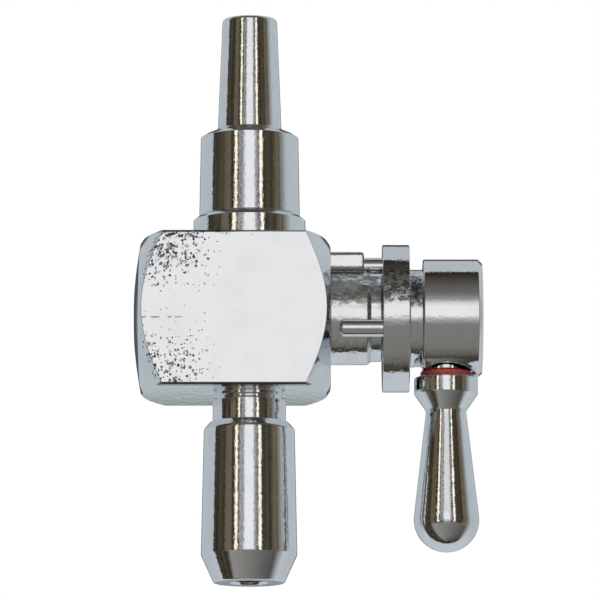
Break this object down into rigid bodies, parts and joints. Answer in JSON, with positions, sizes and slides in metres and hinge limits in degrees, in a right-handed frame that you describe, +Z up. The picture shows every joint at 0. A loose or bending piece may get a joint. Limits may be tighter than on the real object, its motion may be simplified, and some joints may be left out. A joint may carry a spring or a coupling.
{
  "type": "beverage tap",
  "caption": "Chrome in-line beverage tap: square body, tapered hose spigot above, bullet nozzle below and a quarter-turn finger lever at the side.",
  "frame": {"origin": "centre of the inlet spigot's top end, on the flow axis", "axes": "+Z up along the flow axis, from the nozzle to the spigot; +X along the spindle towards the lever; -Y towards the user, where the lever swings"},
  "size_m": [0.0659, 0.0296, 0.1082],
  "materials": {
    "chrome": "bright chrome plate",
    "satin_chrome": "chrome plate over a rougher turned surface",
    "steel": "turned stainless steel",
    "ptfe": "white low-friction plastic",
    "rubber": "black moulded rubber",
    "red_fibre": "red vulcanised fibre"
  },
  "bodies": {
    "tap_body": {"body_block": "chrome", "inlet_adapter": "chrome", "inlet_union_sleeve": "chrome", "inlet_spigot": "chrome", "outlet_adapter": "chrome", "outlet_nozzle": "chrome", "bonnet_sleeve": "satin_chrome", "upper_seat": "ptfe", "lower_seat": "ptfe", "inlet_adapter_o_ring": "rubber", "outlet_adapter_o_ring": "rubber", "bonnet_o_ring": "rubber", "inlet_gasket": "ptfe", "nozzle_gasket": "ptfe", "thrust_washer": "ptfe"},
    "lever_spindle": {"handle_hub": "chrome", "stop_pin_front": "chrome", "stop_pin_rear": "chrome", "lever_washer": "red_fibre", "lever_handle": "chrome", "lever_stud": "steel", "stem": "steel", "stem_o_ring_inner": "rubber", "stem_o_ring_outer": "rubber", "ball": "chrome"}
  },
  "joints": [
    {"name": "lever_turn", "type": "hinge", "parent": "tap_body", "child": "lever_spindle", "pos_m": [0.02, 0, -0.05785], "axis": [-1, 0, 0], "range_deg": [0, 90]}
  ]
}
